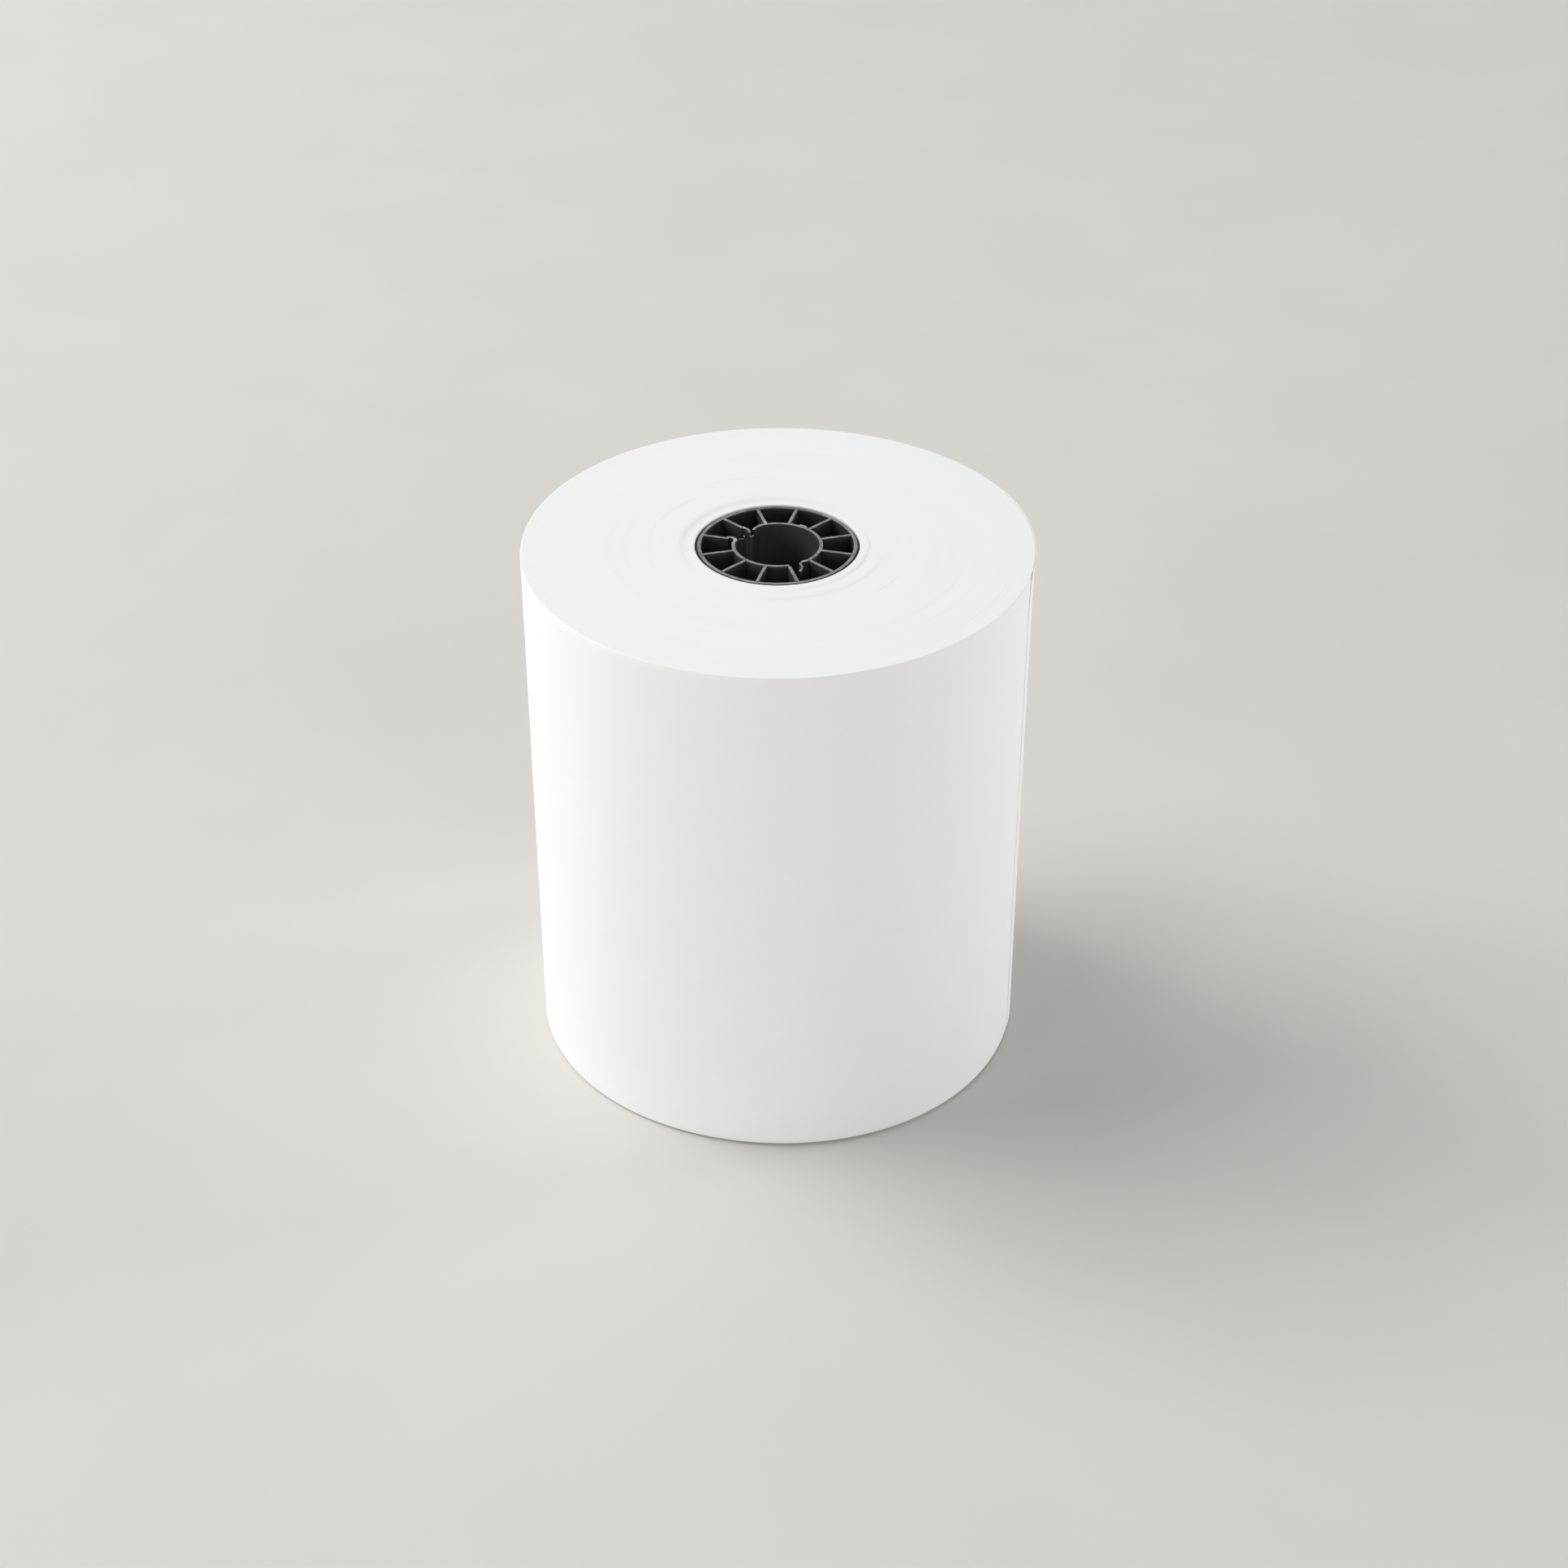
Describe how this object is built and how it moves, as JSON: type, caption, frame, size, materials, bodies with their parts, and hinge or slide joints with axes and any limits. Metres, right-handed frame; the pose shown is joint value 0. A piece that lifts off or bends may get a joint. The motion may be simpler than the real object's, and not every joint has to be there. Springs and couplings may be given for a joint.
{
  "type": "till paper roll",
  "caption": "Plain white paper roll wound on a black ribbed plastic core with a spindle bore; the free end of the strip peels away from the side.",
  "frame": {"origin": "on the roll's axis at its base, where it stands", "axes": "+Z along the roll's axis, up from the base; +X towards the side where the strip's free tail lies"},
  "size_m": [0.0692, 0.0691, 0.0762],
  "materials": {
    "paper": "uncoated bond paper, matt",
    "core_plastic": "extruded plastic, satin walls and dull cut ends",
    "adhesive": "dried light adhesive"
  },
  "bodies": {
    "roll": {"core": "core_plastic", "start_glue": "adhesive", "wound_web": "paper", "tail_tack": "adhesive"},
    "tail": {"web_tail": "paper"}
  },
  "joints": [
    {"name": "tail_peel", "type": "hinge", "parent": "roll", "child": "tail", "pos_m": [0.03139, 0.01463, 0.0381], "axis": [0, 0, 1], "range_deg": [0, 75], "stiffness_Nm_per_rad": 0.0004}
  ]
}
